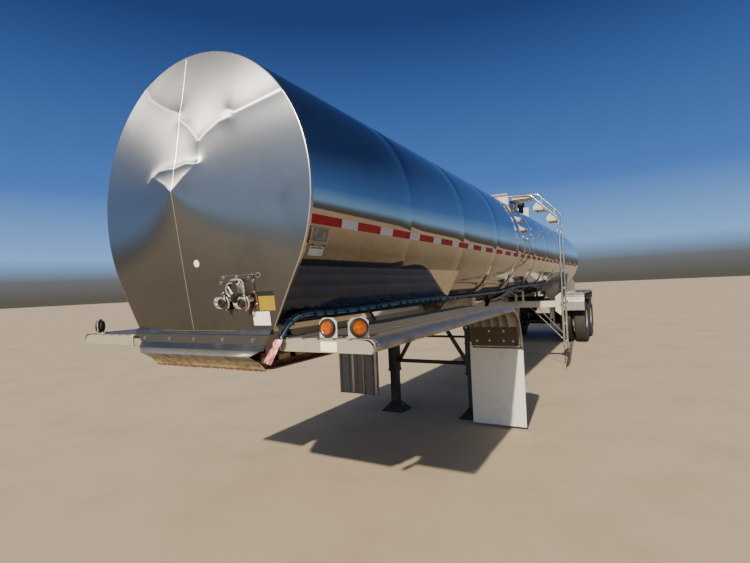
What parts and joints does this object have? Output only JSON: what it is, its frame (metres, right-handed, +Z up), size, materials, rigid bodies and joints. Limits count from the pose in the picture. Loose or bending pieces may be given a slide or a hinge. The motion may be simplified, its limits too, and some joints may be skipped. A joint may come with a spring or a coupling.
{
  "type": "tank semi-trailer",
  "caption": "Tank semi-trailer with a long polished round barrel, shallow conical heads, front fenders, coupler, landing gear, side ladder, manway and twin-wheel tandem.",
  "frame": {"origin": "on the ground, under the middle of the overall length and width", "axes": "+X to the front, +Y to the left side, +Z up"},
  "size_m": [13.355, 2.438, 3.3086],
  "materials": {
    "mirror_steel": "mirror polished stainless steel",
    "brushed_stainless": "brushed stainless steel",
    "dull_stainless": "mill finish stainless steel",
    "rusty_steel": "bare steel with rust and grease",
    "polished_aluminium": "polished",
    "black_paint": "satin black enamel",
    "white_paint": "weathered off-white enamel",
    "tyre_rubber": "road worn",
    "black_rubber": "matt",
    "white_plastic": "moulded sheet",
    "grey_plastic": "moulded ribbed sheet",
    "amber_lens": "moulded clear amber",
    "red_lens": "moulded clear red",
    "cast_metal": "cast, lightly oxidised",
    "air_line": "jacketed hose"
  },
  "bodies": {
    "trailer": {"air_lines": "air_line", "air_springs": "black_rubber", "air_tank": "black_paint", "axles": "black_paint", "barrel": "mirror_steel", "brake_chambers": "black_paint", "bumper": "dull_stainless", "electrical_socket": "cast_metal", "fender_arms": "dull_stainless", "front_fender_left": "polished_aluminium", "front_fender_right": "polished_aluminium", "front_flap_left": "white_plastic", "front_flap_right": "grey_plastic", "front_head": "brushed_stainless", "front_skirt": "dull_stainless", "glad_hands": "cast_metal", "hose_tube": "mirror_steel", "kingpin": "cast_metal", "ladder": "polished_aluminium", "ladder_brackets": "black_paint", "ladder_step": "black_rubber", "landing_braces": "black_paint", "landing_crank": "black_paint", "landing_legs": "black_paint", "landing_mounts": "dull_stainless", "lid_clamps": "dull_stainless", "lid_hinge": "dull_stainless", "manway_neck": "dull_stainless", "marker_brackets": "black_rubber", "marker_lenses": "amber_lens", "outlet_valve": "mirror_steel", "outrigger": "white_paint", "overturn_guards": "dull_stainless", "placard_holder": "dull_stainless", "rear_fender_arms": "dull_stainless", "rear_fenders": "polished_aluminium", "rear_flaps": "black_rubber", "rear_head": "brushed_stainless", "saddle_wings": "white_paint", "service_panel": "dull_stainless", "suspension_frame": "dull_stainless", "suspension_hangers": "dull_stainless", "tail_lamps": "red_lens", "top_vent": "mirror_steel", "trailing_arms": "black_paint", "upper_coupler": "rusty_steel", "walkway": "white_paint"},
    "front_left_wheels": {"tyres_front_left": "tyre_rubber", "wheel_front_left": "polished_aluminium"},
    "front_right_wheels": {"tyres_front_right": "tyre_rubber", "wheel_front_right": "polished_aluminium"},
    "rear_left_wheels": {"tyres_rear_left": "tyre_rubber", "wheel_rear_left": "polished_aluminium"},
    "rear_right_wheels": {"tyres_rear_right": "tyre_rubber", "wheel_rear_right": "polished_aluminium"},
    "manway_lid": {"manway_lid": "mirror_steel"},
    "hose_tube_door": {"hose_tube_door": "mirror_steel"}
  },
  "joints": [
    {"name": "front_left_spin", "type": "hinge", "parent": "trailer", "child": "front_left_wheels", "pos_m": [-4.6275, 0.9075, 0.52], "axis": [0, 1, 0], "continuous": true},
    {"name": "front_right_spin", "type": "hinge", "parent": "trailer", "child": "front_right_wheels", "pos_m": [-4.6275, -0.9075, 0.52], "axis": [0, 1, 0], "continuous": true},
    {"name": "rear_left_spin", "type": "hinge", "parent": "trailer", "child": "rear_left_wheels", "pos_m": [-5.8725, 0.9075, 0.52], "axis": [0, 1, 0], "continuous": true},
    {"name": "rear_right_spin", "type": "hinge", "parent": "trailer", "child": "rear_right_wheels", "pos_m": [-5.8725, -0.9075, 0.52], "axis": [0, 1, 0], "continuous": true},
    {"name": "manway_lid_hinge", "type": "hinge", "parent": "trailer", "child": "manway_lid", "pos_m": [-1.5525, 0, 3.2423], "axis": [0, -1, 0], "range_deg": [0, 110]},
    {"name": "hose_tube_door_hinge", "type": "hinge", "parent": "trailer", "child": "hose_tube_door", "pos_m": [-3.5825, -0.78, 1.358], "axis": [0, 1, 0], "range_deg": [0, 100]}
  ]
}
